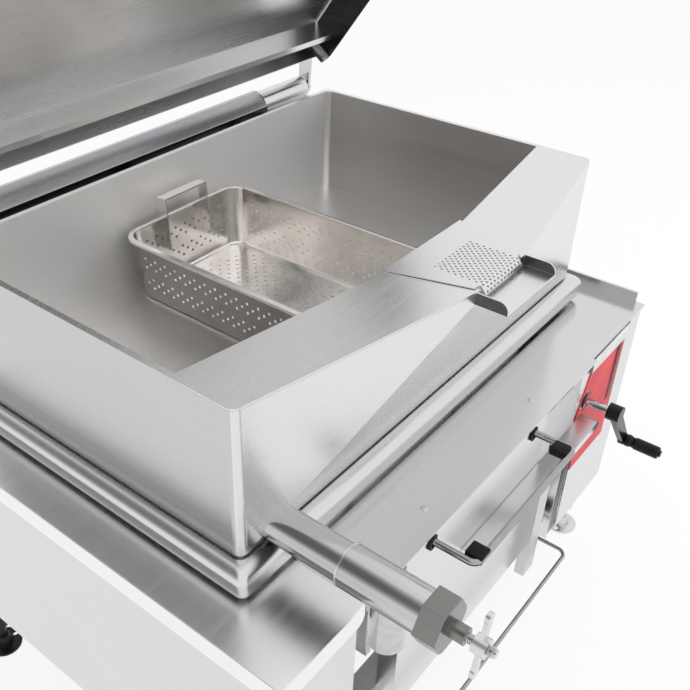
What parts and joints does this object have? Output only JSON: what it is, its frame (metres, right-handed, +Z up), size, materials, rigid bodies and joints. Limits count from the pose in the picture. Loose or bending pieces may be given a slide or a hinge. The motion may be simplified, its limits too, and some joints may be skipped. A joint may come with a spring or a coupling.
{
  "type": "tilting skillet",
  "caption": "Floor-standing electric tilting skillet: rectangular pan with pouring spout, hinged lid, draw-off valve, lift-out basket and hand crank tilting drive",
  "frame": {"origin": "floor level, at the centre of the four feet's anchor holes", "axes": "+Z up, +X to the right seen from the front, -Y towards the cook, where the spout and the crank are"},
  "size_m": [1.178, 1.061, 1.5313],
  "materials": {
    "sheet_steel": "fine brushed stainless sheet",
    "pan_steel": "satin stainless, warm tone inside",
    "polished_steel": "polished stainless tube and fittings",
    "frame_steel": "mill finish steel sections",
    "gear_steel": "machined dark steel",
    "bronze": "cast bronze",
    "black_plastic": "black moulded plastic",
    "black_paint": "black enamel",
    "red_paint": "coral red face",
    "plate_grey": "bare grey plate",
    "rubber": "black rubber",
    "insulation": "mineral wool board"
  },
  "bodies": {
    "base": {"base_frame": "frame_steel", "feet": "black_plastic", "left_deck": "sheet_steel", "apron": "sheet_steel", "right_deck": "sheet_steel", "rear_deck": "sheet_steel", "pan_rests": "rubber", "left_cabinet": "sheet_steel", "console_shell": "sheet_steel", "console_inner_panel": "sheet_steel", "gear_carrier": "frame_steel", "rear_panel": "sheet_steel", "front_panel": "sheet_steel", "red_panel": "red_paint", "name_plate": "plate_grey", "front_ledge": "sheet_steel", "rod_grommets": "rubber", "rod_guides": "frame_steel", "guide_channel": "sheet_steel", "apron_screws": "polished_steel", "control_box": "plate_grey", "power_gland": "black_plastic", "pivot_blocks": "frame_steel", "crank_bushing": "bronze"},
    "pan": {"pan_shell": "pan_steel", "pour_lip": "pan_steel", "pan_skirt": "sheet_steel", "base_cover": "sheet_steel", "insulation": "insulation", "heating_elements": "gear_steel", "element_clamps": "frame_steel", "hinge_arm": "frame_steel", "tilt_quadrant": "frame_steel", "pivot_pins": "gear_steel", "valve_tube": "polished_steel", "valve_body": "polished_steel", "bonnet_nut": "polished_steel", "torsion_tube": "sheet_steel", "tube_brackets": "sheet_steel"},
    "pinion_train": {"pinion_shaft": "gear_steel", "worm_wheel": "bronze"},
    "crank": {"crank_shaft": "polished_steel", "worm": "gear_steel", "crank_arm": "black_paint"},
    "grip": {"crank_grip": "black_plastic"},
    "lid": {"lid_shell": "pan_steel", "drip_strip": "pan_steel", "lid_links": "polished_steel", "lid_handle": "polished_steel", "torsion_bar": "gear_steel"},
    "strainer_plate": {"strainer": "pan_steel"},
    "lift_basket": {"basket": "pan_steel", "basket_handle": "pan_steel"},
    "plug": {"valve_plug": "polished_steel"},
    "valve_spindle": {"valve_stem": "polished_steel", "valve_handle": "polished_steel"},
    "pan_carrier": {"carrier_rods": "polished_steel", "carrier_bumpers": "rubber"},
    "lower_carrier": {"wire_carrier": "polished_steel"},
    "knob": {"clamp_knob": "black_plastic"}
  },
  "joints": [
    {"name": "pan_tilt", "type": "hinge", "parent": "base", "child": "pan", "pos_m": [0, -0.404, 0.605], "axis": [1, 0, 0], "range_deg": [0, 80]},
    {"name": "pinion_turn", "type": "hinge", "parent": "base", "child": "pinion_train", "pos_m": [0, -0.24318, 0.5824], "axis": [1, 0, 0], "range_deg": [-568, 0]},
    {"name": "crank_turn", "type": "hinge", "parent": "base", "child": "crank", "pos_m": [0.346, -0.289, 0.522], "axis": [0, 1, 0], "range_deg": [0, 5680]},
    {"name": "grip_spin", "type": "hinge", "parent": "crank", "child": "grip", "pos_m": [0.44871, -0.289, 0.39287], "axis": [0, 1, 0], "continuous": true},
    {"name": "lid_hinge", "type": "hinge", "parent": "pan", "child": "lid", "pos_m": [0, 0.396, 0.94], "axis": [-1, 0, 0], "range_deg": [-53.5, 6.5]},
    {"name": "strainer_lift", "type": "slide", "parent": "pan", "child": "strainer_plate", "axis": [0, 0, 1], "range_m": [0, 0.12]},
    {"name": "basket_lift", "type": "slide", "parent": "pan", "child": "lift_basket", "axis": [0, 0, 1], "range_m": [0, 0.18]},
    {"name": "valve_lift", "type": "slide", "parent": "pan", "child": "plug", "axis": [0, -1, 0], "range_m": [0, 0.018]},
    {"name": "valve_turn", "type": "hinge", "parent": "plug", "child": "valve_spindle", "pos_m": [-0.438, -0.289, 0.72], "axis": [0, -1, 0], "range_deg": [0, 1080]},
    {"name": "carrier_slide", "type": "slide", "parent": "base", "child": "pan_carrier", "axis": [0, -1, 0], "range_m": [0, 0.3]},
    {"name": "lower_slide", "type": "slide", "parent": "base", "child": "lower_carrier", "axis": [0, -1, 0], "range_m": [0, 0.3]},
    {"name": "knob_turn", "type": "hinge", "parent": "base", "child": "knob", "pos_m": [0.265, -0.289, 0.236], "axis": [0, 1, 0], "range_deg": [0, 90]}
  ],
  "couplings": [
    {"joint": "pinion_turn", "follows": "pan_tilt", "ratio": -7.1},
    {"joint": "crank_turn", "follows": "pan_tilt", "ratio": 71},
    {"joint": "valve_lift", "follows": "valve_turn", "m_per_rad": 0.00095493}
  ]
}
